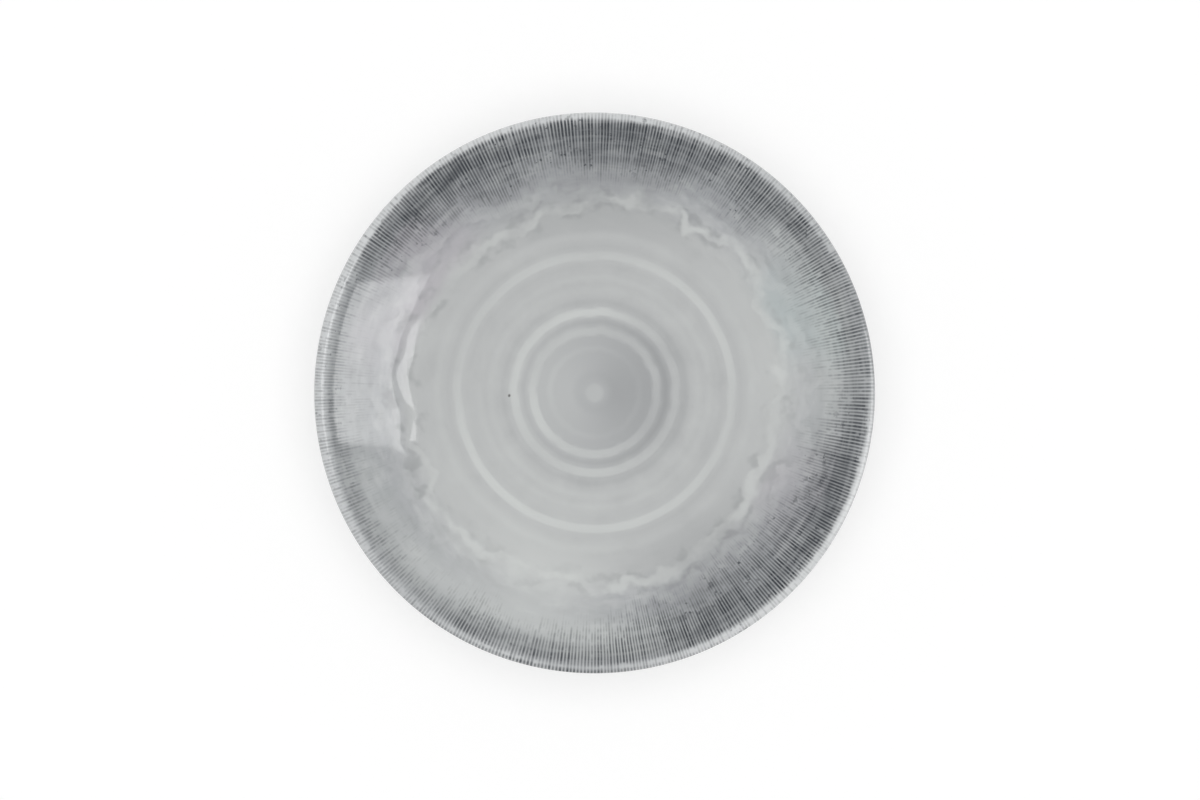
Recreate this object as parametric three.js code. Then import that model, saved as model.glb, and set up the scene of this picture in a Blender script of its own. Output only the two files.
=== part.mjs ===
// Deep coupe plate in glazed stoneware: one fired clay body with a turned foot ring,
// fused under three coats of glaze.
// Millimetres, +Z up. The origin is on the plate's axis, on the plane that the foot ring stands on.
import * as THREE from "three";

// Overall sizes, over the glaze
const RIM_DIAMETER = 255;
const PLATE_HEIGHT = 38;

// Clay body
const FLOOR_THICKNESS = 5;
const FLOOR_SLOPE = 1; // degrees, dished towards the centre
const WALL_THICKNESS = 4;
const WALL_ANGLE = 46; // degrees above level, under the lip
const SWEEP_RADIUS = 86; // inside, from the floor up into the wall

// Foot ring
const FOOT_DIAMETER = 140; // outside, where it stands
const FOOT_FLAT_WIDTH = 4.6; // across the ring where it stands, before its edges are eased
const FOOT_DRAFT = 15; // degrees that both sides lean away from upright
const FOOT_EDGE_RADIUS = 0.8;
const FOOT_ROOT_RADIUS = 2.4;
const RECESS_DEPTH = 3.2; // clay floor above the table, at the axis

// Throwing rings left by the fingers on the floor, and the low button at the centre
const RING_RADII = [28.1, 36.7, 62.2];
const RING_WIDTH = 5;
const RING_HEIGHT = 0.5;
const BUTTON_RADIUS = 4;
const BUTTON_HEIGHT = 0.4;

// Glaze
const GLAZE_THICKNESS = 0.4;
const BOND_GAP = 0.05; // between clay and glaze, so that the two solids stay apart
const GLAZE_LAP = 3; // face glaze carried past the lip, down the outside
const BARE_FOOT_HEIGHT = 1.6; // clay wiped clean of glaze above the table

// Facets
const TURN_STEPS = 52;
const CHORD_HEIGHT = 0.1; // most that a facet of a round may cut into it

const point = (x, y) => new THREE.Vector2(x, y);
const radians = THREE.MathUtils.degToRad;
const heading = (degrees) => point(Math.cos(radians(degrees)), Math.sin(radians(degrees)));
const leftOf = (direction) => point(-direction.y, direction.x);
const along = (start, direction, distance) => start.clone().addScaledVector(direction, distance);

// Where the line through p along u meets the line through q along v.
function crossing(p, u, q, v) {
  const gap = q.clone().sub(p);
  return along(p, u, gap.cross(v) / u.cross(v));
}

// The part of an open outline's two sides that a round at corner i takes up.
function tangentLength(outline, i) {
  const { at, radius = 0 } = outline[i];
  if (!radius) return 0;
  const back = outline[i - 1].at.clone().sub(at);
  const on = outline[i + 1].at.clone().sub(at);
  return radius / Math.tan(back.angleTo(on) / 2);
}

// An open outline of corners { at, radius } as a line of points, with an arc at each rounded corner.
// Rounds that meet on a short side share it.
function rounded(outline) {
  const lengths = outline.map((_, i) => tangentLength(outline, i));
  const room = (i) => outline[i].at.distanceTo(outline[i + 1].at) / (lengths[i] + lengths[i + 1] || 1e-9);
  return outline.flatMap(({ at }, i) => {
    if (!lengths[i]) return [at];
    const length = lengths[i] * Math.min(1, room(i - 1), room(i));
    const back = outline[i - 1].at.clone().sub(at).normalize();
    const on = outline[i + 1].at.clone().sub(at).normalize();
    const half = back.angleTo(on) / 2;
    const centre = along(at, back.clone().add(on).normalize(), length / Math.cos(half));
    const start = along(at, back, length);
    const sweep = (Math.PI - 2 * half) * Math.sign(on.cross(back));
    const radius = length * Math.tan(half);
    const steps = Math.ceil(Math.abs(sweep) / (2 * Math.acos(1 - CHORD_HEIGHT / Math.max(radius, CHORD_HEIGHT))));
    return Array.from({ length: steps + 1 }, (_, k) => start.clone().rotateAround(centre, (sweep * k) / steps));
  });
}

// Where an open line meets the straight line through p along u, with the points before it and after it.
function meeting(line, p, u) {
  const side = (q) => Math.sign(u.cross(q.clone().sub(p)));
  const i = line.findIndex((q) => side(q) !== side(line[0]));
  const at = crossing(p, u, line[i], line[i - 1].clone().sub(line[i]));
  return { before: line.slice(0, i), at, after: line.slice(i) };
}

// Drops points that fall on the one before, as two rounds that share a side leave.
const tidy = (line) => line.filter((p, i) => i === 0 || p.distanceTo(line[i - 1]) > 0.01);

// The line moved sideways, to the left of the way it runs. An end on the axis stays on the axis.
function shifted(line, distance) {
  return line.map((p, i) => {
    const before = i > 0 ? leftOf(p.clone().sub(line[i - 1]).normalize()) : null;
    const after = i < line.length - 1 ? leftOf(line[i + 1].clone().sub(p).normalize()) : null;
    const mirrored = p.x < 1e-6 ? point(-(before ?? after).x, (before ?? after).y) : null;
    const first = before ?? mirrored ?? after;
    const second = after ?? mirrored ?? before;
    const bisector = first.clone().add(second).normalize();
    return along(p, bisector, distance / bisector.dot(first));
  });
}

// Height of the finger-made relief on the floor at a radius.
function relief(radius) {
  const bump = (centre, reach, height) =>
    (height / 2) * (1 + Math.cos(Math.PI * Math.min(1, Math.abs(radius - centre) / reach)));
  const rings = RING_RADII.map((centre) => bump(centre, RING_WIDTH / 2, RING_HEIGHT));
  return Math.max(bump(0, BUTTON_RADIUS, BUTTON_HEIGHT), ...rings);
}

// A line that runs out from the axis, with points added at the button and each ring, and raised by the relief.
function thrown(line) {
  const marks = RING_RADII.flatMap((r) => [r - RING_WIDTH / 2, r, r + RING_WIDTH / 2]);
  const added = [BUTTON_RADIUS / 2, BUTTON_RADIUS, ...marks].map((r) => {
    const i = line.findIndex((p) => p.x > r);
    const share = (r - line[i - 1].x) / (line[i].x - line[i - 1].x);
    return { i, p: line[i - 1].clone().lerp(line[i], share) };
  });
  const full = line.flatMap((p, i) => [...added.filter((a) => a.i === i).map((a) => a.p), p]);
  return tidy(full).map((p) => point(p.x, p.y + relief(p.x)));
}

// Lines that the section is drawn on
const floorRun = heading(FLOOR_SLOPE);
const wallRun = heading(WALL_ANGLE);
const footOuterRun = heading(90 - FOOT_DRAFT);
const footInnerRun = heading(90 + FOOT_DRAFT);
const lipRadius = WALL_THICKNESS / 2;
const lipCentre = point(
  RIM_DIAMETER / 2 - GLAZE_THICKNESS - lipRadius,
  PLATE_HEIGHT - GLAZE_THICKNESS - lipRadius,
);
const lipInside = along(lipCentre, leftOf(wallRun), lipRadius);
const lipOutside = along(lipCentre, leftOf(wallRun), -lipRadius);
const recessTop = point(0, RECESS_DEPTH);
const floorTop = point(0, RECESS_DEPTH + FLOOR_THICKNESS);
const footOutside = point(FOOT_DIAMETER / 2, 0);
const footInside = point(FOOT_DIAMETER / 2 - FOOT_FLAT_WIDTH, 0);

// Points where one stretch of the section ends and the next begins
const seam = along(lipOutside, wallRun, -GLAZE_LAP);
const footGlazeOutside = along(footOutside, footOuterRun, BARE_FOOT_HEIGHT / footOuterRun.y);
const footGlazeInside = along(footInside, footInnerRun, BARE_FOOT_HEIGHT / footInnerRun.y);

// The clay's surface in four stretches: across the face and over the lip, down the outside, round the foot, and
// under the floor. The outside and the floor's underside are one sweep, which the foot ring stands on.
const faceLine = thrown(
  tidy(
    rounded([
      { at: floorTop },
      { at: crossing(floorTop, floorRun, lipInside, wallRun), radius: SWEEP_RADIUS },
      { at: along(lipInside, wallRun, lipRadius), radius: lipRadius },
      { at: along(lipOutside, wallRun, lipRadius), radius: lipRadius },
      { at: seam },
    ]),
  ),
);
const undersideLine = tidy(
  rounded([
    { at: seam },
    {
      at: crossing(recessTop, floorRun, lipOutside, wallRun),
      radius: SWEEP_RADIUS + (FLOOR_THICKNESS + WALL_THICKNESS) / 2,
    },
    { at: recessTop },
  ]),
);
const outerRoot = meeting(undersideLine, footOutside, footOuterRun);
const innerRoot = meeting(undersideLine, footInside, footInnerRun);
const sweepOutside = outerRoot.before.filter((p) => p.distanceTo(outerRoot.at) > FOOT_ROOT_RADIUS);
const sweepInside = innerRoot.after.filter((p) => p.distanceTo(innerRoot.at) > FOOT_ROOT_RADIUS);
const outsideLine = rounded([
  ...sweepOutside.map((at) => ({ at })),
  { at: outerRoot.at, radius: FOOT_ROOT_RADIUS },
  { at: footGlazeOutside },
]);
const footLine = rounded([
  { at: footGlazeOutside },
  { at: footOutside, radius: FOOT_EDGE_RADIUS },
  { at: footInside, radius: FOOT_EDGE_RADIUS },
  { at: footGlazeInside },
]);
const recessLine = rounded([
  { at: footGlazeInside },
  { at: innerRoot.at, radius: FOOT_ROOT_RADIUS },
  ...sweepInside.map((at) => ({ at })),
]);

// A section turned about the plate's axis, which stands up along Z. Sections are drawn outwards over the top and
// back underneath, and the turning takes them the other way round.
function turned(section) {
  return new THREE.LatheGeometry(section.toReversed(), TURN_STEPS).rotateX(Math.PI / 2);
}

// The section of a coat of glaze over one stretch of the clay. It starts and ends on the axis, or ends where it
// started.
function coat(line) {
  const bonded = shifted(line, BOND_GAP);
  const surface = shifted(line, GLAZE_THICKNESS);
  const section = [...surface, ...bonded.reverse()];
  if (line[0].x < 1e-6) return section;
  if (line.at(-1).x < 1e-6) return [...section.slice(line.length), ...section.slice(0, line.length)];
  return [...section, section[0]];
}

const clay = new THREE.MeshStandardMaterial({ color: 0xd3ccc0, roughness: 0.9, metalness: 0 });
const faceGlaze = new THREE.MeshStandardMaterial({ color: 0xb4b7b8, roughness: 0.18, metalness: 0 });
const plainGlaze = new THREE.MeshStandardMaterial({ color: 0xcbcdcc, roughness: 0.2, metalness: 0 });

function piece(name, section, material) {
  const mesh = new THREE.Mesh(turned(section), material);
  mesh.name = name;
  return mesh;
}

const claySection = tidy([...faceLine, ...outsideLine, ...footLine, ...recessLine]);

const plate = new THREE.Group();
plate.name = "deep_plate";
plate.add(
  piece("clay_body", claySection, clay),
  piece("face_glaze", coat(faceLine), faceGlaze),
  piece("outside_glaze", coat(outsideLine), plainGlaze),
  piece("recess_glaze", coat(recessLine), plainGlaze),
);

export default plate;
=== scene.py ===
import math

import bpy
import numpy as np
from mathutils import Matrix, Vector


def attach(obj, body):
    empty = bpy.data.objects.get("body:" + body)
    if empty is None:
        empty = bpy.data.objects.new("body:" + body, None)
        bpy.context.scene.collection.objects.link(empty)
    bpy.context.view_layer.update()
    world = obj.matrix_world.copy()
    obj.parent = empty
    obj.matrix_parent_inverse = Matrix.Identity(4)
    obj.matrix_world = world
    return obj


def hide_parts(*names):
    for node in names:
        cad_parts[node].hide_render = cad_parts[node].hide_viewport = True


# A deep coupe plate in glazed stoneware, seen from straight above on a white floor.
# It is one fired clay body under three coats of glaze, each turned from its own section.
# The face coat carries the thrown rings, the edge where the wall's glaze ran down, and the streaks under it.
# Lengths are in millimetres until MM turns them into Blender's metres.

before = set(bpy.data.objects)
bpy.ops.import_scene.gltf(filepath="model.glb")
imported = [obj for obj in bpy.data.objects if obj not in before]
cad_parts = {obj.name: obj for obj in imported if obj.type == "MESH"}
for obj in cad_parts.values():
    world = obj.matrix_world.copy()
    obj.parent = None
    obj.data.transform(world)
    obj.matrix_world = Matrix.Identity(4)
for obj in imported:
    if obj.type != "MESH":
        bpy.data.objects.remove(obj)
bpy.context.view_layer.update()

MM = 0.001

# Sizes of the section, the same as the solids have
RIM_RADIUS = 127.5
PLATE_HEIGHT = 38.0
FLOOR_THICKNESS = 5.0
FLOOR_SLOPE = 1.0
WALL_THICKNESS = 4.0
WALL_ANGLE = 46.0
SWEEP_RADIUS = 86.0
FOOT_RADIUS = 70.0
FOOT_FLAT_WIDTH = 4.6
FOOT_DRAFT = 15.0
FOOT_EDGE_RADIUS = 0.8
FOOT_ROOT_RADIUS = 2.4
RECESS_DEPTH = 3.2
GLAZE_THICKNESS = 0.4
BOND_GAP = 0.05
GLAZE_LAP = 3.0
BARE_FOOT_HEIGHT = 1.6

# Fineness of the turned meshes, and the bends in degrees that stay corners and that shade as edges
FACE_STEPS = 400
PLAIN_STEPS = 240
FACE_SPACING = 0.95
PLAIN_SPACING = 2.2
BOND_SPACING = 8.0
FOOT_SPACING = 0.3
SAME_POINT = 0.01
KEPT_BEND = 9
SMOOTH_ANGLE = 40

# Thrown rings on the floor: radius, height, width and how pale the glaze breaks over them
RINGS = (
    (28.3, 0.50, 5.6, 0.36),
    (37.0, 0.50, 6.2, 0.42),
    (62.8, 0.42, 5.8, 0.41),
    (20.4, 0.14, 5.0, 0.10),
    (47.6, 0.16, 6.0, 0.12),
    (52.8, 0.12, 5.0, 0.12),
    (72.0, 0.16, 6.5, 0.12),
)
RING_SEED = 5
RING_OFF_CENTRE = 0.45
RING_OFF_ANGLE = 100
# Rings above this height break in a flat-topped band, and the low ones all over
TALL_RING = 0.2
RING_BAND = 4.7

# Hollows between the rings, where the glaze lies darker: radius, width and how dark
HOLLOWS = (
    (32.5, 4.0, 0.20),
    (41.9, 5.0, 0.14),
    (67.1, 4.0, 0.08),
    (8.0, 7.0, 0.08),
    (58.1, 4.0, 0.05),
)

# The button at the centre, and the most that the face is raised anywhere
BUTTON_RADIUS = 4.0
BUTTON_HEIGHT = 0.35
BUTTON_PALE = 0.24
RELIEF_HEIGHT = 0.8

# The edge where the wall's glaze ran down and stopped
RUN_RADIUS = 87.5
RUN_SEED = 41
RUN_BEAD_HEIGHT = 0.33
RUN_BEAD_WIDTH = 3.2
RUN_STEP_HEIGHT = 0.08
RUN_STEP_FADE = 100
RUN_STEP_END = 112
SECOND_RUN_RADIUS = 96.5
SECOND_RUN_SEED = 8

# Lobes that hang from both runs: how many, and how far the line is set back for them
LOBE_COUNT = 14
LOBE_BALANCE = 1.9

# Streaks under the glaze of the wall
STREAK_COUNT = 512
STREAK_SEED = 17
STREAK_START = 104.0
STREAK_FADE = 13.0
LIP_START = 124.2

# The side of the plate that mirrors the lamp, in degrees
LAMP_SIDE = 174

# Patches round the plate where the glaze differs: strength or length, angle, and width in degrees
RUN_DRIPS = ((4.2, 60, 3.4), (2.8, 24, 4.5), (2.4, 304, 3.6), (-5.0, 43, 8.0))
WEAK_BEAD = ((0.55, 156, 10), (0.25, 189, 9))
MILKY_RUN = ((0.5, 84, 12), (0.45, 293, 12))
# The last thin-wash patch, on the lamp's side, is a painted reflection: it paints the wall paler where it
# mirrors the lamp.
THIN_WASH_AND_SHEEN = ((0.84, 15, 25), (0.78, 224, 31), (0.95, 275, 17), (0.36, LAMP_SIDE, 26))
DULL_LIP = ((0.85, 14, 21), (0.3, 52, 22), (0.55, 228, 16), (0.52, 268, 17), (0.30, 184, 26))
LIP_SHIFT = ((-2.6, 184, 30), (-0.8, 290, 28), (2.0, 14, 14), (0.5, 105, 20))
LIP_TICKS = ((0.30, 14, 17), (-0.20, 332, 34), (-0.08, 108, 36), (0.06, 255, 20))
DARK_HAZE = ((1.10, 127, 12), (0.65, 82, 9), (0.80, 293, 7), (0.85, 338, 9))
PALE_HAZE = ((0.35, 313, 12), (0.25, 236, 18))
PALE_WALL = ((0.32, 12, 36), (0.36, 256, 22))
DARK_WALL = ((0.34, 90, 32), (0.32, 300, 28))
TEAL_WALL = ((1.1, 22, 16), (0.5, 205, 10))
MAUVE_WALL = ((0.9, 148, 34), (0.9, 336, 20), (0.4, 275, 20))

# The face's map: middle and reach of the disc that shows, and of the small one for the hidden side
MAP_MIDDLE = 0.445
MAP_REACH = 0.44
HIDDEN_MIDDLE = 0.85
HIDDEN_REACH = 0.14

# The photograph's frame, in pixels
FRAME_WIDTH = 1200
FRAME_HEIGHT = 800
PLATE_PIXEL = (594.6, 392.9)
RIM_PIXELS = 280.7
CAMERA_DISTANCE = 3.0
SENSOR_WIDTH = 36.0

# Strength of the light from all round: overhead, and what is added near the horizon
SKY_LIGHT = 0.433
LOW_LIGHT = 1.0

# The floor: size in metres, how pale it is to light and to the eye, and the glow that makes it white
FLOOR_SIZE = 8
FLOOR_PALE = 0.8
FLOOR_SEEN = 0.5
FLOOR_LIFT = 0.55


def point(x, y):
    return Vector((x, y))


def heading(degrees):
    return point(math.cos(math.radians(degrees)), math.sin(math.radians(degrees)))


def left_of(direction):
    return point(-direction.y, direction.x)


def cross(u, v):
    return u.x * v.y - u.y * v.x


def crossing(p, u, q, v):
    """Where the line through p along u meets the line through q along v."""
    return p + u * (cross(q - p, v) / cross(u, v))


def rounded(corners):
    """An open outline of (place, radius) corners, with an arc of close points at each rounded corner."""
    line = [corners[0][0]]
    for (before, _), (at, radius), (after, _) in zip(corners, corners[1:], corners[2:]):
        back = (before - at).normalized()
        on = (after - at).normalized()
        half = math.acos(max(-1.0, min(1.0, back.dot(on)))) / 2
        length = radius / math.tan(half)
        centre = at + (back + on).normalized() * (length / math.cos(half))
        start = at + back * length - centre
        sweep = math.copysign(math.pi - 2 * half, cross(on, back))
        steps = max(2, math.ceil(abs(sweep) * max(radius / FACE_SPACING, 5)))
        for k in range(steps + 1):
            turn = sweep * k / steps
            line.append(centre + point(
                start.x * math.cos(turn) - start.y * math.sin(turn),
                start.x * math.sin(turn) + start.y * math.cos(turn),
            ))
    line.append(corners[-1][0])
    return [p for i, p in enumerate(line) if i == 0 or (p - line[i - 1]).length > SAME_POINT]


def spaced(line, spacing):
    """The line with points added or dropped so that they lie about a spacing apart, corners kept."""
    kept = [line[0]]
    for i, p in enumerate(line[1:], 1):
        last = i == len(line) - 1
        run = (p - kept[-1]).length
        bend = 0 if last else (p - kept[-1]).angle(line[i + 1] - p, 0)
        if run < spacing and bend < math.radians(KEPT_BEND) and not last:
            continue
        pieces = max(1, round(run / spacing))
        start = kept[-1]
        kept += [start.lerp(p, k / pieces) for k in range(1, pieces + 1)]
    return kept


def shifted(line, distance):
    """The line moved to the left of the way it runs; an end on the axis stays on the axis."""
    moved = []
    for i, p in enumerate(line):
        before = left_of((p - line[i - 1]).normalized()) if i else None
        after = left_of((line[i + 1] - p).normalized()) if i < len(line) - 1 else None
        only = before or after
        mirrored = point(-only.x, only.y) if p.x < 1e-6 else None
        first = before or mirrored or after
        second = after or mirrored or before
        bisector = (first + second).normalized()
        moved.append(p + bisector * (distance / bisector.dot(first)))
    return moved


# The clay's surface in stretches, as the solids are drawn
floor_run = heading(FLOOR_SLOPE)
wall_run = heading(WALL_ANGLE)
foot_outer_run = heading(90 - FOOT_DRAFT)
foot_inner_run = heading(90 + FOOT_DRAFT)
lip_radius = WALL_THICKNESS / 2
lip_centre = point(RIM_RADIUS - GLAZE_THICKNESS - lip_radius, PLATE_HEIGHT - GLAZE_THICKNESS - lip_radius)
lip_inside = lip_centre + left_of(wall_run) * lip_radius
lip_outside = lip_centre - left_of(wall_run) * lip_radius
recess_top = point(0, RECESS_DEPTH)
floor_top = point(0, RECESS_DEPTH + FLOOR_THICKNESS)
foot_outside = point(FOOT_RADIUS, 0)
foot_inside = point(FOOT_RADIUS - FOOT_FLAT_WIDTH, 0)
seam = lip_outside - wall_run * GLAZE_LAP
foot_glaze_outside = foot_outside + foot_outer_run * (BARE_FOOT_HEIGHT / foot_outer_run.y)
foot_glaze_inside = foot_inside + foot_inner_run * (BARE_FOOT_HEIGHT / foot_inner_run.y)

face_line = rounded([
    (floor_top, 0),
    (crossing(floor_top, floor_run, lip_inside, wall_run), SWEEP_RADIUS),
    (lip_inside + wall_run * lip_radius, lip_radius),
    (lip_outside + wall_run * lip_radius, lip_radius),
    (seam, 0),
])
underside_line = rounded([
    (seam, 0),
    (crossing(recess_top, floor_run, lip_outside, wall_run),
     SWEEP_RADIUS + (FLOOR_THICKNESS + WALL_THICKNESS) / 2),
    (recess_top, 0),
])


def meeting(line, p, u):
    """Where a line meets the straight line through p along u: the index after it, and the place."""
    sides = [cross(u, q - p) > 0 for q in line]
    i = next(k for k, side in enumerate(sides) if side != sides[0])
    return i, crossing(p, u, line[i], line[i - 1] - line[i])


def rooted(line, end):
    """A sweep that comes down to a corner and turns into the foot, with the corner filled by a round."""
    corner = line[-1]
    clear = [p for p in line[:-1] if (p - corner).length > 2 * FOOT_ROOT_RADIUS]
    return clear[:-1] + rounded([(clear[-1], 0), (corner, FOOT_ROOT_RADIUS), (end, 0)])


outer_index, outer_root = meeting(underside_line, foot_outside, foot_outer_run)
inner_index, inner_root = meeting(underside_line, foot_inside, foot_inner_run)
outside_line = rooted(underside_line[:outer_index] + [outer_root], foot_glaze_outside)
recess_line = rooted(underside_line[:inner_index - 1:-1] + [inner_root], foot_glaze_inside)[::-1]
foot_line = rounded([
    (foot_glaze_outside, 0),
    (foot_outside, FOOT_EDGE_RADIUS),
    (foot_inside, FOOT_EDGE_RADIUS),
    (foot_glaze_inside, 0),
])


# Turning the sections into meshes

def turned(name, section, steps):
    """Draws a section by extruding a point along it, then spins it about the axis into a closed mesh.

    The attribute along holds each point's distance along the section, in millimetres.
    """
    bpy.ops.object.select_all(action="DESELECT")
    bpy.ops.mesh.primitive_plane_add(size=MM)
    piece = bpy.context.object
    piece.name = piece.data.name = name
    bpy.ops.object.mode_set(mode="EDIT")
    bpy.ops.mesh.select_all(action="SELECT")
    bpy.ops.mesh.merge(type="CENTER")
    bpy.ops.transform.translate(value=(section[0].x * MM, 0, section[0].y * MM))
    for start, end in zip(section, section[1:]):
        move = (end - start) * MM
        bpy.ops.mesh.extrude_vertices_move(TRANSFORM_OT_translate={"value": (move.x, 0, move.y)})
    bpy.ops.object.mode_set(mode="OBJECT")
    lengths = [0.0]
    for start, end in zip(section, section[1:]):
        lengths.append(lengths[-1] + (end - start).length)
    along = piece.data.attributes.new("along", "FLOAT", "POINT")
    along.data.foreach_set("value", lengths)
    bpy.ops.object.mode_set(mode="EDIT")
    bpy.ops.mesh.select_all(action="SELECT")
    bpy.ops.mesh.spin(steps=steps, angle=math.tau, center=(0, 0, 0), axis=(0, 0, 1))
    bpy.ops.mesh.select_all(action="SELECT")
    bpy.ops.mesh.remove_doubles(threshold=0.001 * MM)
    bpy.ops.mesh.normals_make_consistent(inside=False)
    bpy.ops.object.mode_set(mode="OBJECT")
    bpy.ops.object.shade_smooth_by_angle(angle=math.radians(SMOOTH_ANGLE))
    return piece


def coat(line, spacing):
    """The section of a coat over a stretch of clay: its surface, then back along the clay."""
    surface = spaced(shifted(line, GLAZE_THICKNESS), spacing)
    bonded = spaced(shifted(line, BOND_GAP)[::-1], BOND_SPACING)
    return surface, bonded


def places(piece):
    """Each point's radius in millimetres, turn from 0 to 1 and distance along the section, as arrays."""
    mesh = piece.data
    spots = np.empty(len(mesh.vertices) * 3)
    mesh.vertices.foreach_get("co", spots)
    spots = spots.reshape(-1, 3) / MM
    along = np.empty(len(mesh.vertices))
    mesh.attributes["along"].data.foreach_get("value", along)
    turn = np.arctan2(spots[:, 1], spots[:, 0]) / math.tau % 1
    return np.hypot(spots[:, 0], spots[:, 1]), turn, along


def keep_values(piece, name, values):
    """Stores one number per point on the mesh, for its material to read."""
    layer = piece.data.attributes.new(name, "FLOAT", "POINT")
    layer.data.foreach_set("value", np.asarray(values, dtype=np.float32))


def raise_by(piece, heights):
    """Lifts the surface along its normals by a height in millimetres at each point."""
    group = piece.vertex_groups.new(name="relief")
    for i in np.flatnonzero(heights > 1e-4):
        group.add([int(i)], float(min(1, heights[i] / RELIEF_HEIGHT)), "REPLACE")
    lift = piece.modifiers.new("relief", "DISPLACE")
    lift.vertex_group = group.name
    lift.mid_level = 0
    lift.strength = RELIEF_HEIGHT * MM
    bpy.ops.object.modifier_apply(modifier=lift.name)
    piece.vertex_groups.clear()


# Layout of the face, worked out round the plate

def smooth(low, high, values):
    """A soft step from 0 at the low value to 1 at the high one."""
    share = np.clip((values - low) / (high - low), 0, 1)
    return share * share * (3 - 2 * share)


def bump(values, centre, width):
    """A round hump of height 1 that is a width across at its foot."""
    reach = np.clip(np.abs(values - centre) / (width / 2), 0, 1)
    return (1 + np.cos(math.pi * reach)) / 2


def band(values, centre, width):
    """A flat-topped band of height 1 that is a width across at its foot."""
    return 1 - smooth(0.30 * width, 0.50 * width, np.abs(values - centre))


def waver(turn, counts, draw):
    """A wavy line round the plate made of whole waves, with an even mix of the counts given."""
    waves = [np.sin(math.tau * (count * turn + draw.random())) for count in counts]
    return sum(waves) / math.sqrt(len(waves) / 2)


def near(turn, angle, width):
    """A soft patch round the plate: 1 at an angle, falling away over a width in degrees."""
    away = (turn * 360 - angle + 180) % 360 - 180
    return np.exp(-((away / width) ** 2))


def patches(turn, spots):
    """Soft patches added together, each given as its strength, angle and width."""
    return sum(strength * near(turn, angle, width) for strength, angle, width in spots)


def run_line(turn, middle, seed):
    """Radius at which a coat of glaze stopped running: round lobes that hang inwards, some further."""
    draw = np.random.default_rng(seed)
    line = middle + 1.7 * waver(turn, (2, 3, 5), draw) + 0.6 * waver(turn, (7, 9), draw)
    line = line - 1.5 * np.abs(waver(turn, (6, 9, 11), draw)) - 0.7 * np.abs(waver(turn, (17, 22, 27), draw))
    for k in range(LOBE_COUNT):
        angle = 360 / LOBE_COUNT * k + draw.uniform(-11, 11)
        line = line - draw.uniform(0.2, 2.4) * near(turn, angle, draw.uniform(2.4, 4.6))
    return line + LOBE_BALANCE


def thin_wash_and_sheen(turn):
    """Where round the plate the dark wash lies thin, from 0 to 1; on the lamp's side it is painted
    reflection, which pales the wall there.
    """
    return np.clip(patches(turn, THIN_WASH_AND_SHEEN), 0, 0.95)


def streak_start(turn, thin, lamp_side):
    """Radius at which the streaks begin, further up where the wash is thin, and further up on the lamp's side
    as painted reflection, which leaves the wall paler there.
    """
    draw = np.random.default_rng(STREAK_SEED)
    start = STREAK_START + 3.0 * waver(turn, (2, 3, 4), draw) + 2.0 * waver(turn, (7, 11, 17), draw)
    return start + 2 * thin + 3 * lamp_side - 2 * near(turn, 306, 22)


def streak_ink(radius, turn, along, lip_along):
    """How strongly the streaks show, up to 1, and how dark the haze between them is, where 1 is usual.

    Both lie over the wall, thin out on the lip and are gone down the outside. Where the wash is thin,
    the haze thins more than the streaks do.
    """
    thin = thin_wash_and_sheen(turn) * (1 - 0.15 * smooth(116, 122, radius))
    lamp_side = near(turn, LAMP_SIDE, 26)
    start = streak_start(turn, thin, lamp_side)
    wall = smooth(start - STREAK_FADE, start + STREAK_FADE * 1.1, radius)
    lip = LIP_START + patches(turn, LIP_SHIFT)
    over_lip = smooth(lip - 1.2, lip + 1.2, radius)
    ticks = 0.40 + patches(turn, LIP_TICKS)
    # On the low side, around 264 degrees, the outside of the lip is darker: its heavier ticks are print, and
    # the haze there is painted shade.
    outside = 0.22 + 0.74 * near(turn, 262, 36)
    low_side = near(turn, 264, 34)
    edge = lip_along - 1.9 * low_side
    rolled = smooth(edge - 2.2, edge - 0.4, along)
    gone = smooth(lip_along + 1.5, lip_along + 5.5, along)
    low_wall = 1 - smooth(106, 117, radius)
    quiet_side = smooth(140, 160, turn * 360) * (1 - smooth(226, 246, turn * 360))
    quiet = quiet_side * (0.50 + 0.28 * (1 - smooth(112, 119, radius)))
    fine = near(turn, 10, 26) * (0.12 + 0.32 * low_wall) + 0.18 * near(turn, 312, 44) * low_wall
    on_wall = wall * (1 - 0.2 * thin) * (1 - quiet) * (1 - fine)
    streaks = (on_wall * (1 - over_lip) + ticks * over_lip) * (1 - rolled) + outside * rolled
    # On the lamp's side the haze is thinned high on the wall: painted reflection.
    haze = wall * (1 - 0.80 * thin) * (1 - 0.6 * lamp_side * smooth(110, 117, radius)) * (1 - over_lip)
    depth = 1 + patches(turn, DARK_HAZE) - patches(turn, PALE_HAZE)
    # Painted shade: extra haze darkens the wall just under the lip on the lamp's side.
    painted_lip_shade = 0.28 * near(turn, 198, 34) * smooth(112, 118, radius) * (1 - over_lip)
    haze = (haze * depth + painted_lip_shade) * (1 - rolled) + 0.9 * low_side * rolled
    return streaks * (1 - gone), haze * (1 - gone)


def wash_tone_and_painted_light(radius, turn):
    """Broad unevenness of the glaze on the floor and low on the wall, and painted light and shade across the
    centre; pale above 0 and dark below.
    """
    middle = smooth(2, 12, radius) * (1 - smooth(34, 46, radius))
    ring = smooth(36, 58, radius) * (1 - smooth(108, 120, radius))
    outer = smooth(62, 86, radius) * (1 - smooth(108, 120, radius))
    side = np.cos(math.tau * turn)
    pale = ring * 0.24 * near(turn, 240, 42) + outer * patches(turn, PALE_WALL)
    dark = outer * patches(turn, DARK_WALL)
    # The last term is painted light and shade: the centre is darker towards +x and paler towards -x.
    return pale - dark + middle * np.where(side > 0, -0.36, -0.24) * side


def glaze_tint(radius, turn):
    """Where the glaze leans to teal, up to about 1, or to mauve, down to about -1."""
    low_wall = smooth(78, 90, radius) * (1 - smooth(112, 120, radius))
    return low_wall * (patches(turn, TEAL_WALL) - patches(turn, MAUVE_WALL))


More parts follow.
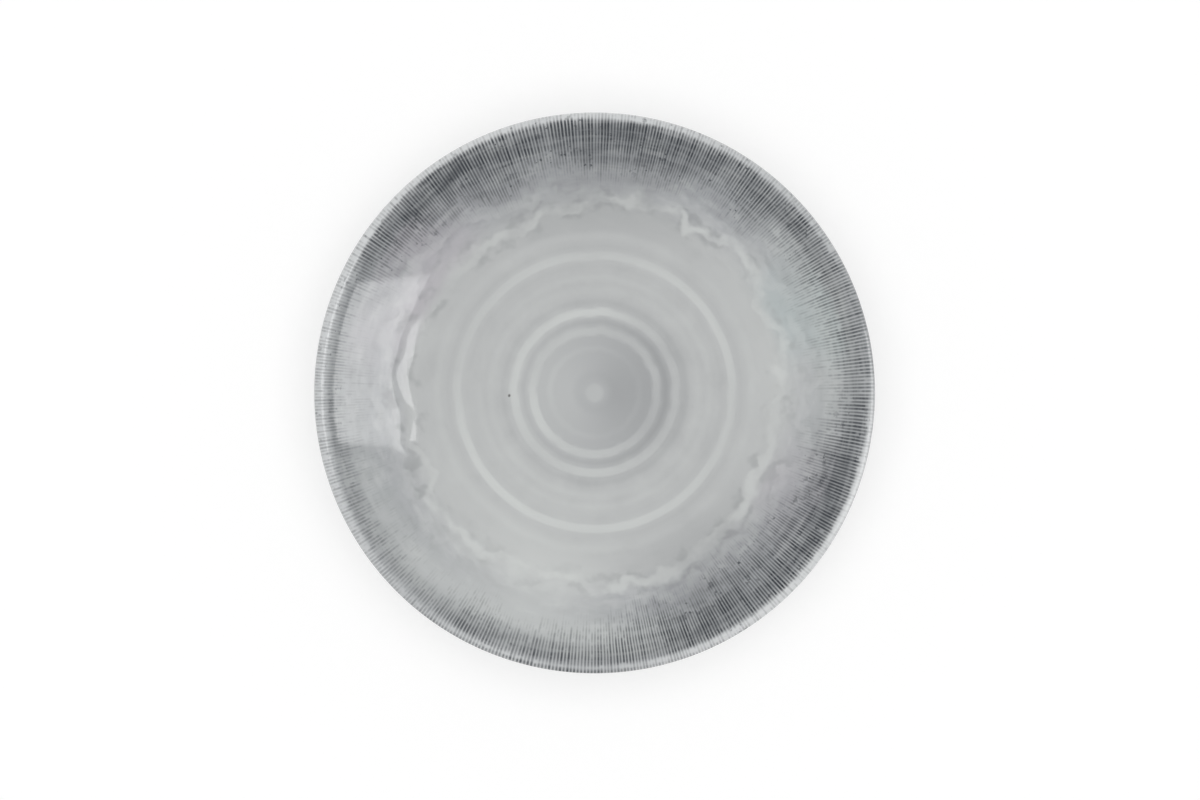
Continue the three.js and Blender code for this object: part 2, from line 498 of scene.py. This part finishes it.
def thrown_rings(radius, turn, draw):
    """Height of the centre button and the rings, and how pale or dark the glaze is over and between them."""
    wander = 0.15 * waver(turn, (1, 2, 3), draw) + 0.12 * waver(turn, (11, 16, 23), draw)
    wander = wander - RING_OFF_CENTRE * np.cos(math.tau * turn - math.radians(RING_OFF_ANGLE))
    relief = BUTTON_HEIGHT * bump(radius, 0, 2 * BUTTON_RADIUS)
    tone = BUTTON_PALE * band(radius, 0, 2.6 * BUTTON_RADIUS)
    for at, height, width, pale in RINGS:
        hump = bump(radius + wander, at, width)
        relief = relief + height * hump
        broken = band(radius + wander, at, RING_BAND) if height > TALL_RING else hump
        tone = tone + pale * broken * (1 + 0.22 * waver(turn, (1, 2, 4), draw))
    for at, width, dark in HOLLOWS:
        tone = tone - dark * bump(radius + wander, at, width)
    return relief, tone


def run_relief(radius, turn, past_run):
    """Height of the bead along the run's edge, and of the thicker glaze that ends in it."""
    bead = np.exp(-((past_run / RUN_BEAD_WIDTH) ** 2)) * (1 - patches(turn, WEAK_BEAD))
    step = smooth(-3, 6, past_run) - smooth(RUN_STEP_FADE, RUN_STEP_END, radius)
    return RUN_BEAD_HEIGHT * bead + RUN_STEP_HEIGHT * step * (radius < RUN_STEP_END)


def dress_face(face, surface_length, lip_along):
    """Raises the rings, the button and the run's edge, and stores what the glaze's colour follows."""
    radius, turn, along = places(face)
    upper = along <= surface_length + 1e-3
    draw = np.random.default_rng(RING_SEED)
    relief, tone = thrown_rings(radius, turn, draw)
    past_run = radius - run_line(turn, RUN_RADIUS, RUN_SEED) + patches(turn, RUN_DRIPS)
    relief = relief + run_relief(radius, turn, past_run)
    raise_by(face, np.where(upper, np.clip(relief, 0, None), 0))
    keep_values(face, "break_tone_and_painted_light", np.where(upper, tone + wash_tone_and_painted_light(radius, turn), 0))
    keep_values(face, "past_run", past_run)
    keep_values(face, "past_second_run", radius - run_line(turn, SECOND_RUN_RADIUS, SECOND_RUN_SEED))
    milk = 0.95 + 0.2 * waver(turn, (2, 5, 7), draw) + patches(turn, MILKY_RUN)
    keep_values(face, "run_milk", milk * (1 - 0.9 * near(turn, LAMP_SIDE, 30)))
    keep_values(face, "tint", glaze_tint(radius, turn))
    keep_values(face, "thin_wash_and_sheen", thin_wash_and_sheen(turn))
    keep_values(face, "dull_lip", patches(turn, DULL_LIP))
    keep_values(face, "lip_lamp", near(turn, 176, 24))
    streaks, haze = streak_ink(radius, turn, along, lip_along)
    keep_values(face, "ink", np.where(upper, streaks, 0))
    keep_values(face, "haze", np.where(upper, haze, 0))


def lay_out_map(face, surface_length):
    """Lays the face out flat as one large disc, with its hidden side as a small disc in the corner."""
    mesh = face.data
    _, turn, along = places(face)
    total = along.max()
    edge = surface_length + GLAZE_THICKNESS
    layer = mesh.uv_layers.new(name="OFBake")
    corners = np.empty(len(mesh.loops), dtype=np.int32)
    mesh.loops.foreach_get("vertex_index", corners)
    face_of = np.repeat(np.arange(len(mesh.polygons)), [len(p.vertices) for p in mesh.polygons])
    middle = np.bincount(face_of, along[corners]) / np.bincount(face_of)
    upper = (middle < edge - 0.01)[face_of]
    shown_reach = along[corners] / edge * MAP_REACH
    hidden_reach = (total - along[corners]) / (total - edge) * HIDDEN_REACH
    reach = np.where(upper, shown_reach, hidden_reach)
    centre = np.where(upper, MAP_MIDDLE, HIDDEN_MIDDLE)
    angle = math.tau * turn[corners]
    spots = np.stack([centre + reach * np.cos(angle), centre + reach * np.sin(angle)], axis=1)
    layer.data.foreach_set("uv", spots.astype(np.float32).ravel())


# Shader building

class Nodes:
    """A short way to lay nodes in a tree: each call returns the socket that carries the result."""

    def __init__(self, tree):
        self.tree = tree

    def add(self, kind, **settings):
        node = self.tree.nodes.new(kind)
        for key, value in settings.items():
            setattr(node, key, value)
        return node

    def feed(self, socket, value):
        if isinstance(value, bpy.types.NodeSocket):
            self.tree.links.new(value, socket)
        else:
            socket.default_value = value

    def math(self, operation, a, b=None, clamp=False):
        node = self.add("ShaderNodeMath", operation=operation, use_clamp=clamp)
        self.feed(node.inputs[0], a)
        if b is not None:
            self.feed(node.inputs[1], b)
        return node.outputs[0]

    def plus(self, a, b):
        return self.math("ADD", a, b)

    def times(self, a, b, clamp=False):
        return self.math("MULTIPLY", a, b, clamp)

    def span(self, value, low, high, to_low=0.0, to_high=1.0):
        node = self.add("ShaderNodeMapRange", interpolation_type="SMOOTHSTEP")
        for socket, number in zip(node.inputs[:5], (value, low, high, to_low, to_high)):
            self.feed(socket, number)
        return node.outputs[0]

    def mix(self, share, a, b):
        node = self.add("ShaderNodeMix", data_type="RGBA")
        self.feed(node.inputs[0], share)
        self.feed(node.inputs[6], a)
        self.feed(node.inputs[7], b)
        return node.outputs[2]

    def ramp(self, value, stops):
        node = self.add("ShaderNodeValToRGB")
        self.feed(node.inputs[0], value)
        marks = node.color_ramp.elements
        while len(marks) < len(stops):
            marks.new(1.0)
        for mark, (place, colour) in zip(marks, stops):
            mark.position = place
            mark.color = colour
        return node.outputs[0]

    def noise(self, vector, scale, detail=2.0, roughness=0.5):
        node = self.add("ShaderNodeTexNoise")
        self.feed(node.inputs["Vector"], vector)
        self.feed(node.inputs["Scale"], scale)
        self.feed(node.inputs["Detail"], detail)
        self.feed(node.inputs["Roughness"], roughness)
        return node.outputs[0]

    def draw(self, number):
        """A random value from 0 to 1 that stays the same for the same number."""
        node = self.add("ShaderNodeTexWhiteNoise", noise_dimensions="1D")
        self.feed(node.inputs["W"], number)
        return node.outputs["Value"]

    def stack(self, x, y, z):
        node = self.add("ShaderNodeCombineXYZ")
        for socket, value in zip(node.inputs, (x, y, z)):
            self.feed(socket, value)
        return node.outputs[0]

    def value_of(self, attribute):
        return self.add("ShaderNodeAttribute", attribute_name=attribute).outputs["Fac"]

    def effect(self, group, **inputs):
        node = self.add("ShaderNodeGroup", node_tree=group)
        for name, value in inputs.items():
            self.feed(node.inputs[name.replace("_", " ").title()], value)
        return node.outputs


def srgb(red, green, blue):
    """A colour given as it looks on screen, 0 to 255, as a linear colour."""
    def linear(level):
        share = level / 255
        return share / 12.92 if share <= 0.04045 else ((share + 0.055) / 1.055) ** 2.4
    return (linear(red), linear(green), linear(blue), 1.0)


def new_effect(name, inputs, outputs):
    """An empty shader node group: the group, its nodes, and the sockets that it is given and gives back."""
    group = bpy.data.node_groups.new(name, "ShaderNodeTree")
    for label, kind in inputs:
        group.interface.new_socket(label, in_out="INPUT", socket_type=kind)
    for label, kind in outputs:
        group.interface.new_socket(label, in_out="OUTPUT", socket_type=kind)
    nodes = Nodes(group)
    given = nodes.add("NodeGroupInput").outputs
    result = nodes.add("NodeGroupOutput").inputs
    return group, nodes, given, result


def bare_tree(owner):
    """Gives a material or a world an empty node tree."""
    owner.use_nodes = True
    owner.node_tree.nodes.clear()
    return Nodes(owner.node_tree)


FLOAT = "NodeSocketFloat"
VECTOR = "NodeSocketVector"


def polar_place():
    """Where a point lies round the plate: radius in millimetres, turn, and a vector for ring-wise noise."""
    group, nodes, given, result = new_effect(
        "polar place",
        [("Place", VECTOR), ("Ring Scale", FLOAT), ("Radius Scale", FLOAT)],
        [("Radius", FLOAT), ("Turn", FLOAT), ("Ring Vector", VECTOR)],
    )
    parts = nodes.add("ShaderNodeSeparateXYZ")
    nodes.feed(parts.inputs[0], given["Place"])
    x, y = parts.outputs[0], parts.outputs[1]
    square = nodes.plus(nodes.times(x, x), nodes.times(y, y))
    radius = nodes.math("DIVIDE", nodes.math("SQRT", square), MM)
    angle = nodes.math("ARCTAN2", y, x)
    nodes.feed(result["Radius"], radius)
    nodes.feed(result["Turn"], nodes.plus(nodes.math("DIVIDE", angle, math.tau), 0.5))
    ring = given["Ring Scale"]
    nodes.feed(result["Ring Vector"], nodes.stack(
        nodes.times(nodes.math("COSINE", angle), ring),
        nodes.times(nodes.math("SINE", angle), ring),
        nodes.times(radius, given["Radius Scale"]),
    ))
    return group


def iron_specks():
    """Small ragged iron spots: a share of the cells hold one, and its size is a share of its cell."""
    group, nodes, given, result = new_effect(
        "iron specks",
        [("Place", VECTOR), ("Scale", FLOAT), ("Share", FLOAT), ("Size", FLOAT)],
        [("Mask", FLOAT)],
    )
    cells = nodes.add("ShaderNodeTexVoronoi", feature="F1")
    nodes.feed(cells.inputs["Vector"], given["Place"])
    nodes.feed(cells.inputs["Scale"], given["Scale"])
    draw = nodes.add("ShaderNodeSeparateColor")
    nodes.feed(draw.inputs[0], cells.outputs["Color"])
    chosen = nodes.math("LESS_THAN", draw.outputs[0], given["Share"])
    size = nodes.times(given["Size"], nodes.plus(0.5, draw.outputs[1]))
    ragged = nodes.noise(given["Place"], nodes.times(given["Scale"], 4.0), 1.0)
    ragged = nodes.times(nodes.math("SUBTRACT", ragged, 0.5), nodes.times(size, 1.6))
    distance = nodes.plus(cells.outputs["Distance"], ragged)
    spot = nodes.span(distance, nodes.times(size, 0.45), size, 1.0, 0.0)
    nodes.feed(result["Mask"], nodes.times(spot, chosen))
    return group


def glaze_skin():
    """The faint unevenness of a fired glaze: a slow ripple, fine orange peel, and where it is duller."""
    group, nodes, given, result = new_effect(
        "glaze skin",
        [("Place", VECTOR), ("Roughness", FLOAT), ("Spread", FLOAT)],
        [("Height", FLOAT), ("Roughness", FLOAT)],
    )
    ripple = nodes.noise(given["Place"], 55.0, 1.0)
    peel = nodes.noise(given["Place"], 420.0, 2.0)
    nodes.feed(result["Height"], nodes.plus(ripple, nodes.times(peel, 0.12)))
    dull = nodes.math("SUBTRACT", nodes.noise(given["Place"], 38.0, 3.0), 0.5)
    dull = nodes.times(dull, given["Spread"])
    nodes.feed(result["Roughness"], nodes.math("ADD", given["Roughness"], dull, clamp=True))
    return group


def radial_streaks():
    """Fine broken lines that run down the wall: each has its own strength, and breaks along its length."""
    group, nodes, given, result = new_effect(
        "radial streaks",
        [("Turn", FLOAT), ("Radius", FLOAT), ("Ring Vector", VECTOR), ("Count", FLOAT), ("Ink", FLOAT)],
        [("Mask", FLOAT)],
    )
    angle = nodes.times(given["Turn"], math.tau)
    crowd = nodes.times(nodes.math("SINE", nodes.times(angle, 3.0)), 1.2)
    bunch = nodes.times(nodes.math("SINE", nodes.times(angle, 7.0)), 0.5)
    crowd = nodes.plus(crowd, bunch)
    sway = nodes.times(nodes.noise(given["Ring Vector"], 0.9, 0.0), 0.16)
    even = nodes.times(given["Turn"], given["Count"])
    place = nodes.plus(even, nodes.plus(crowd, sway))
    number = nodes.math("FLOOR", place)
    own = nodes.draw(number)
    own_strength = nodes.span(own, 0.0, 1.0, 0.68, 0.96)
    own_start = nodes.draw(nodes.plus(number, 1000.0))
    head_start = nodes.times(nodes.math("SUBTRACT", own_start, 0.5), 0.16)
    own_middle = nodes.draw(nodes.plus(number, 2000.0))
    middle = nodes.span(own_middle, 0.0, 1.0, 0.46, 0.54)
    off_line = nodes.math("ABSOLUTE", nodes.math("SUBTRACT", nodes.math("FRACT", place), middle))
    breaks = nodes.noise(nodes.stack(
        nodes.times(number, 0.80),
        nodes.times(given["Radius"], 0.22),
        0.0,
    ), 1.0, 2.0)
    reach = nodes.plus(breaks, nodes.times(given["Ink"], 0.42))
    shown = nodes.span(nodes.plus(reach, head_start), 0.46, 0.74)
    width = nodes.plus(nodes.times(shown, 0.12), nodes.span(own, 0.0, 1.0, 0.14, 0.19))
    line = nodes.span(off_line, nodes.math("SUBTRACT", width, 0.09), nodes.plus(width, 0.09), 1.0, 0.0)
    strength = nodes.times(nodes.times(shown, own_strength), given["Ink"])
    nodes.feed(result["Mask"], nodes.times(line, strength))
    return group


def run_edge():
    """The edge of a run of glaze: a frayed milky band along it, and the darker glaze on both its sides."""
    group, nodes, given, result = new_effect(
        "run edge",
        [("Place", VECTOR), ("Past", FLOAT), ("Fray", FLOAT)],
        [("Milk", FLOAT), ("Shade", FLOAT)],
    )
    wander = nodes.math("SUBTRACT", nodes.noise(given["Place"], 95.0, 2.0), 0.5)
    edge = nodes.plus(given["Past"], nodes.times(wander, given["Fray"]))
    milk = nodes.times(nodes.span(edge, -4.2, -1.0), nodes.span(edge, 0.2, 4.0, 1.0, 0.0))
    broken = nodes.span(nodes.noise(given["Place"], 62.0, 3.0, 0.6), 0.36, 0.60, 0.24, 1.0)
    nodes.feed(result["Milk"], nodes.times(milk, broken))
    inner = nodes.times(nodes.span(edge, -8.0, -4.0), nodes.span(edge, -3.4, -2.0, 1.0, 0.0))
    outer = nodes.times(nodes.span(edge, 1.2, 3.0), nodes.span(edge, 4.0, 9.0, 1.0, 0.0))
    blotch = nodes.span(nodes.noise(given["Place"], 110.0, 2.0), 0.46, 0.66)
    nodes.feed(result["Shade"], nodes.times(nodes.plus(inner, outer), blotch))
    return group


POLAR = polar_place()
SPECKS = iron_specks()
SKIN = glaze_skin()
STREAKS = radial_streaks()
RUN_EDGE = run_edge()


def new_material(name):
    """A material with a Principled BSDF: the material, its nodes, the shader and the Object coordinates."""
    material = bpy.data.materials.new(name)
    nodes = bare_tree(material)
    shader = nodes.add("ShaderNodeBsdfPrincipled")
    shader.inputs["IOR"].default_value = GLAZE_IOR
    output = nodes.add("ShaderNodeOutputMaterial")
    nodes.tree.links.new(shader.outputs[0], output.inputs["Surface"])
    place = nodes.add("ShaderNodeTexCoord").outputs["Object"]
    return material, nodes, shader, place


def add_bump(nodes, shader, height, distance):
    """Roughens the shader's surface by a height map whose full range is a distance in millimetres."""
    node = nodes.add("ShaderNodeBump")
    node.inputs["Distance"].default_value = distance * MM
    node.inputs["Strength"].default_value = 1.0
    nodes.feed(node.inputs["Height"], height)
    nodes.feed(shader.inputs["Normal"], node.outputs[0])


# Finishes: how strongly they mirror, and their colours as they look
GLAZE_IOR = 1.5
POOL_GREY = srgb(189, 191, 191)
CENTRE_GREY = srgb(178, 180, 181)
WALL_GREY = srgb(173, 175, 178)
LOW_STREAK_GREY = srgb(165, 168, 171)
UPPER_WALL_GREY = srgb(168, 171, 174)
LIP_SHADOW_GREY = srgb(154, 157, 160)
LIP_PALE = srgb(213, 215, 216)
LIP_DULL = srgb(164, 167, 169)
# The rim's very edge is a pale glaze break, painted lighter than the lip as painted light on the outturned
# edge, which the lamps leave darker.
EDGE_BREAK_AND_PAINTED_LIGHT = srgb(222, 224, 224)
MILK = srgb(214, 217, 215)
SHADE = srgb(138, 140, 142)
INK = srgb(37, 44, 52)
TEAL = srgb(160, 176, 178)
MAUVE = srgb(188, 182, 189)
SPECK = srgb(58, 54, 52)
PLAIN_PALE = srgb(208, 210, 209)
PLAIN_GREY = srgb(196, 199, 199)
PLAIN_WARM = srgb(201, 200, 194)
CLAY = srgb(205, 197, 184)
CLAY_DARK = srgb(178, 168, 154)


def face_glaze_material():
    """The face's grey glaze: its ground colour, then clouds, lip, runs, rings, streaks and specks over it,
    with painted light and shade at the centre, at the lip and on the lamp's side.
    """
    material, nodes, shader, place = new_material("face glaze")
    polar = nodes.effect(POLAR, place=place, ring_scale=7.0, radius_scale=0.20)
    radius, turn, ring_vector = polar["Radius"], polar["Turn"], polar["Ring Vector"]
    share = nodes.math("DIVIDE", radius, RIM_RADIUS)
    colour = nodes.ramp(share, [
        (0.00, CENTRE_GREY),
        (0.20, CENTRE_GREY),
        (0.36, POOL_GREY),
        (0.66, POOL_GREY),
        (0.75, WALL_GREY),
        (0.845, LOW_STREAK_GREY),
        (0.880, UPPER_WALL_GREY),
        (0.926, LIP_SHADOW_GREY),
        (0.940, LIP_SHADOW_GREY),
        (0.979, LIP_PALE),
        (0.992, LIP_PALE),
        (1.000, EDGE_BREAK_AND_PAINTED_LIGHT),
    ])

    # Clouds on the wall, drifts of slip on the floor, and a lean to teal or mauve
    cloud = nodes.noise(ring_vector, 1.0, 4.0, 0.55)
    on_wall = nodes.span(radius, 76.0, 96.0)
    off_lip = nodes.span(radius, 119.0, 123.0, 1.0, 0.0)
    wall = nodes.times(on_wall, off_lip)
    colour = nodes.mix(nodes.times(nodes.span(cloud, 0.48, 0.72, 0.0, 0.30), wall), colour, SHADE)
    colour = nodes.mix(nodes.times(nodes.span(cloud, 0.50, 0.30, 0.0, 0.25), wall), colour, MILK)
    slip_vector = nodes.effect(POLAR, place=place, ring_scale=4.0, radius_scale=0.09)["Ring Vector"]
    slip = nodes.noise(slip_vector, 1.0, 3.0)
    off_centre = nodes.span(radius, 22.0, 42.0)
    colour = nodes.mix(nodes.times(nodes.span(slip, 0.50, 0.72, 0.0, 0.10), off_centre), colour, SHADE)
    colour = nodes.mix(nodes.times(nodes.span(slip, 0.50, 0.28, 0.0, 0.12), off_centre), colour, MILK)
    drift = nodes.math("SUBTRACT", nodes.noise(place, 30.0, 3.0), 0.5)
    tint = nodes.plus(nodes.value_of("tint"), nodes.times(drift, 1.4))
    colour = nodes.mix(nodes.times(nodes.span(tint, 0.2, 1.2, 0.0, 0.7), wall), colour, TEAL)
    colour = nodes.mix(nodes.span(tint, -0.2, -1.2, 0.0, 0.50), colour, MAUVE)

    # The wall where the wash is thin, and paler on the lamp's side as painted reflection; the pale break on
    # the lip; and a painted highlight on the lip where it mirrors the lamp
    thin_wash_and_sheen = nodes.value_of("thin_wash_and_sheen")
    thin_wall = nodes.times(nodes.span(radius, 98.0, 112.0, 0.0, 0.46), off_lip)
    colour = nodes.mix(nodes.times(thin_wash_and_sheen, thin_wall), colour, MILK)
    dull = nodes.times(nodes.value_of("dull_lip"), nodes.span(radius, 121.0, 124.5))
    colour = nodes.mix(dull, colour, LIP_DULL)
    lip_lamp = nodes.value_of("lip_lamp")
    # Painted highlight: the lip is painted pale over a wider band where it mirrors the lamp.
    painted_lip_highlight = nodes.times(lip_lamp, nodes.span(radius, 120.2, 122.6, 0.0, 0.42))
    painted_lip_highlight = nodes.times(painted_lip_highlight, nodes.span(radius, 123.6, 124.8, 1.0, 0.0))
    colour = nodes.mix(painted_lip_highlight, colour, LIP_PALE)

    # Edges of the two runs
    run = nodes.effect(RUN_EDGE, place=place, past=nodes.value_of("past_run"), fray=14.0)
    second_run = nodes.effect(RUN_EDGE, place=place, past=nodes.value_of("past_second_run"), fray=20.0)
    colour = nodes.mix(nodes.times(run["Shade"], 0.34), colour, SHADE)
    colour = nodes.mix(nodes.times(second_run["Shade"], 0.26), colour, SHADE)
    colour = nodes.mix(nodes.times(second_run["Milk"], 0.22), colour, MILK)
    milk = nodes.times(run["Milk"], nodes.value_of("run_milk"))
    colour = nodes.mix(nodes.times(milk, 0.56, clamp=True), colour, MILK)

    # Rings, hollows, broad unevenness, and the painted light and shade across the centre
    tone = nodes.value_of("break_tone_and_painted_light")
    colour = nodes.mix(nodes.times(tone, 1.0, clamp=True), colour, MILK)
    colour = nodes.mix(nodes.times(tone, -1.0, clamp=True), colour, SHADE)

    # Haze and streaks, crossed by faint arcs
    ink = nodes.value_of("ink")
    streaks = nodes.effect(
        STREAKS,
        turn=turn,
        radius=radius,
        ring_vector=ring_vector,
        count=float(STREAK_COUNT),
        ink=ink,
    )["Mask"]
    patch = nodes.span(nodes.noise(place, 130.0, 3.0), 0.38, 0.64, 0.16, 0.33)
    arc_vector = nodes.effect(POLAR, place=place, ring_scale=5.0, radius_scale=0.40)["Ring Vector"]
    arcs = nodes.span(nodes.noise(arc_vector, 1.0, 3.0), 0.36, 0.60, 0.74, 1.10)
    haze = nodes.times(nodes.value_of("haze"), patch)
    colour = nodes.mix(nodes.times(haze, arcs), colour, INK)
    colour = nodes.mix(nodes.times(streaks, arcs), colour, INK)

    # Specks in clumps on the wall, and a few strays anywhere
    clump = nodes.span(nodes.noise(place, 75.0, 2.0), 0.42, 0.56)
    speckled = nodes.times(nodes.span(ink, 0.1, 0.5), nodes.span(thin_wash_and_sheen, 0.2, 0.7, 1.0, 0.12))
    speckled = nodes.times(speckled, clump)
    blotches = nodes.effect(SPECKS, place=place, scale=230.0, share=0.38, size=0.30)["Mask"]
    colour = nodes.mix(nodes.times(nodes.times(blotches, speckled), 0.50), colour, INK)
    spots = nodes.effect(SPECKS, place=place, scale=440.0, share=0.40, size=0.26)["Mask"]
    colour = nodes.mix(nodes.times(nodes.times(spots, speckled), 0.78), colour, INK)
    stray = nodes.effect(SPECKS, place=place, scale=75.0, share=0.12, size=0.06)["Mask"]
    colour = nodes.mix(nodes.times(stray, 0.85), colour, SPECK)

    # Gloss, duller where the lip mirrors the lamp
    nodes.feed(shader.inputs["Base Color"], colour)
    skin = nodes.effect(SKIN, place=place, roughness=0.08, spread=0.05)
    rubbed = nodes.times(lip_lamp, nodes.span(radius, 122.2, 123.6, 0.0, 0.24))
    nodes.feed(shader.inputs["Roughness"], nodes.plus(skin["Roughness"], rubbed))
    add_bump(nodes, shader, skin["Height"], 0.05)
    return material


def plain_glaze_material():
    """The pale grey glaze of the underside, thinner and warmer where it breaks over the turning lines."""
    material, nodes, shader, place = new_material("plain glaze")
    polar = nodes.effect(POLAR, place=place, ring_scale=1.5, radius_scale=0.35)
    bands = nodes.noise(polar["Ring Vector"], 1.0, 4.0, 0.6)
    colour = nodes.mix(nodes.span(bands, 0.35, 0.7), PLAIN_PALE, PLAIN_GREY)
    cloud = nodes.noise(place, 24.0, 3.0)
    colour = nodes.mix(nodes.span(cloud, 0.5, 0.75, 0.0, 0.5), colour, PLAIN_WARM)
    spots = nodes.effect(SPECKS, place=place, scale=110.0, share=0.03, size=0.09)["Mask"]
    colour = nodes.mix(nodes.times(spots, 0.6), colour, SPECK)
    nodes.feed(shader.inputs["Base Color"], colour)
    skin = nodes.effect(SKIN, place=place, roughness=0.17, spread=0.1)
    nodes.feed(shader.inputs["Roughness"], skin["Roughness"])
    add_bump(nodes, shader, skin["Height"], 0.06)
    return material


def clay_material():
    """Bare fired clay: dry, with turning lines, a gritty tooth and iron specks."""
    material, nodes, shader, place = new_material("bare clay")
    polar = nodes.effect(POLAR, place=place, ring_scale=2.0, radius_scale=3.0)
    lines = nodes.noise(polar["Ring Vector"], 1.0, 3.0, 0.65)
    grit = nodes.noise(place, 900.0, 3.0, 0.7)
    colour = nodes.mix(nodes.span(lines, 0.35, 0.7), CLAY, CLAY_DARK)
    colour = nodes.mix(nodes.span(grit, 0.55, 0.8, 0.0, 0.5), colour, CLAY_DARK)
    spots = nodes.effect(SPECKS, place=place, scale=420.0, share=0.12, size=0.28)["Mask"]
    colour = nodes.mix(nodes.times(spots, 0.7), colour, SPECK)
    nodes.feed(shader.inputs["Base Color"], colour)
    nodes.feed(shader.inputs["Roughness"], nodes.span(grit, 0.2, 0.8, 0.78, 0.95))
    add_bump(nodes, shader, nodes.plus(grit, lines), 0.12)
    return material


# The plate's pieces

def dress(piece, material, node):
    """Gives a piece its material, says what it rides on, and hides the part that it replaces."""
    piece.data.materials.clear()
    piece.data.materials.append(material)
    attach(piece, "root")
    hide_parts(node)


def make_face_glaze():
    surface, bonded = coat(face_line, FACE_SPACING)
    face = turned("face_glaze_coat", surface + bonded, FACE_STEPS)
    lengths = np.cumsum([0] + [(b - a).length for a, b in zip(surface, surface[1:])])
    widest = max(range(len(surface)), key=lambda i: surface[i].x)
    dress_face(face, lengths[-1], lengths[widest])
    lay_out_map(face, lengths[-1])
    dress(face, face_glaze_material(), "face_glaze")


def make_outside_glaze(material):
    surface, bonded = coat(outside_line, PLAIN_SPACING)
    section = surface + bonded
    outside = turned("outside_glaze_coat", section + section[:1], PLAIN_STEPS)
    dress(outside, material, "outside_glaze")


def make_recess_glaze(material):
    surface, bonded = coat(recess_line, PLAIN_SPACING)
    recess = turned("recess_glaze_coat", bonded + surface, PLAIN_STEPS)
    dress(recess, material, "recess_glaze")


def make_clay_body():
    line = spaced(face_line, BOND_SPACING)
    line += spaced(outside_line, BOND_SPACING)[1:]
    line += spaced(foot_line, FOOT_SPACING)[1:]
    line += spaced(recess_line, BOND_SPACING)[1:]
    body = turned("fired_clay_body", line, PLAIN_STEPS)
    dress(body, clay_material(), "clay_body")


make_face_glaze()
underside_glaze = plain_glaze_material()
make_outside_glaze(underside_glaze)
make_recess_glaze(underside_glaze)
make_clay_body()


# The floor, the light and the camera

def seen_ray(nodes):
    """1 for rays that show a thing, straight, mirrored or through glass, and 0 for light from it."""
    path = nodes.add("ShaderNodeLightPath").outputs
    seen = nodes.math("MAXIMUM", path["Is Camera Ray"], path["Is Glossy Ray"])
    return nodes.math("MAXIMUM", seen, path["Is Transmission Ray"])


def floor():
    """A pale floor that takes the plate's shadow; what is seen of it is lifted to white."""
    bpy.ops.object.select_all(action="DESELECT")
    bpy.ops.mesh.primitive_plane_add(size=FLOOR_SIZE)
    plane = bpy.context.object
    plane.name = "studio_floor"
    material = bpy.data.materials.new("studio floor")
    nodes = bare_tree(material)
    matt = nodes.add("ShaderNodeBsdfDiffuse")
    glow = nodes.add("ShaderNodeEmission")
    seen = seen_ray(nodes)
    nodes.feed(matt.inputs["Color"], nodes.span(seen, 0.0, 1.0, FLOOR_PALE, FLOOR_SEEN))
    nodes.feed(glow.inputs["Strength"], nodes.times(seen, FLOOR_LIFT))
    both = nodes.add("ShaderNodeAddShader")
    nodes.feed(both.inputs[0], matt.outputs[0])
    nodes.feed(both.inputs[1], glow.outputs[0])
    nodes.feed(nodes.add("ShaderNodeOutputMaterial").inputs["Surface"], both.outputs[0])
    plane.data.materials.append(material)


def softbox(name, place, target, width, height, power):
    """A rectangular soft light at a place, facing a target, hidden from the camera."""
    data = bpy.data.lights.new(name, "AREA")
    data.shape = "RECTANGLE"
    data.size = width
    data.size_y = height
    data.energy = power
    lamp = bpy.data.objects.new(name, data)
    lamp.location = place
    lamp.rotation_euler = (Vector(target) - Vector(place)).to_track_quat("-Z", "Y").to_euler()
    lamp.visible_camera = False
    bpy.context.scene.collection.objects.link(lamp)
    return lamp


def surroundings():
    """Pale light from all round, stronger low down, and plain white where it is seen past the floor."""
    world = bpy.data.worlds.new("studio")
    nodes = bare_tree(world)
    back = nodes.add("ShaderNodeBackground")
    back.inputs["Color"].default_value = (1, 1, 1, 1)
    seen = seen_ray(nodes)
    way = nodes.add("ShaderNodeSeparateXYZ")
    nodes.feed(way.inputs[0], nodes.add("ShaderNodeTexCoord").outputs["Generated"])
    low = nodes.math("SUBTRACT", 1.0, way.outputs[2], clamp=True)
    near_horizon = nodes.math("POWER", low, 4.0)
    glow = nodes.plus(SKY_LIGHT, nodes.times(near_horizon, LOW_LIGHT))
    nodes.feed(back.inputs["Strength"], nodes.span(seen, 0.0, 1.0, glow, 1.0))
    nodes.feed(nodes.add("ShaderNodeOutputWorld").inputs["Surface"], back.outputs[0])
    bpy.context.scene.world = world


def overhead_camera():
    """Looks straight down, with the plate's rim at the size and place that it has in the photograph."""
    scale = RIM_PIXELS / (RIM_RADIUS * MM)
    data = bpy.data.cameras.new("overhead")
    data.sensor_fit = "HORIZONTAL"
    data.sensor_width = SENSOR_WIDTH
    data.lens = scale * CAMERA_DISTANCE * SENSOR_WIDTH / FRAME_WIDTH
    camera = bpy.data.objects.new("overhead", data)
    camera.location = (
        (FRAME_WIDTH / 2 - PLATE_PIXEL[0]) / scale,
        (PLATE_PIXEL[1] - FRAME_HEIGHT / 2) / scale,
        PLATE_HEIGHT * MM + CAMERA_DISTANCE,
    )
    bpy.context.scene.collection.objects.link(camera)
    bpy.context.scene.camera = camera


floor()
surroundings()
mirrored = softbox(
    "right softbox",
    place=(0.816, -0.132, 0.573),
    target=(-0.006, -0.132, 0.208),
    width=0.655,
    height=0.91,
    power=6.8,
)
mirrored.visible_diffuse = False
overhead = softbox(
    "overhead softbox",
    place=(0, 0, 2.2),
    target=(0, 0, 0),
    width=2.4,
    height=2.4,
    power=28,
)
overhead.visible_glossy = False
overhead_camera()
bpy.context.scene.view_settings.view_transform = "Standard"
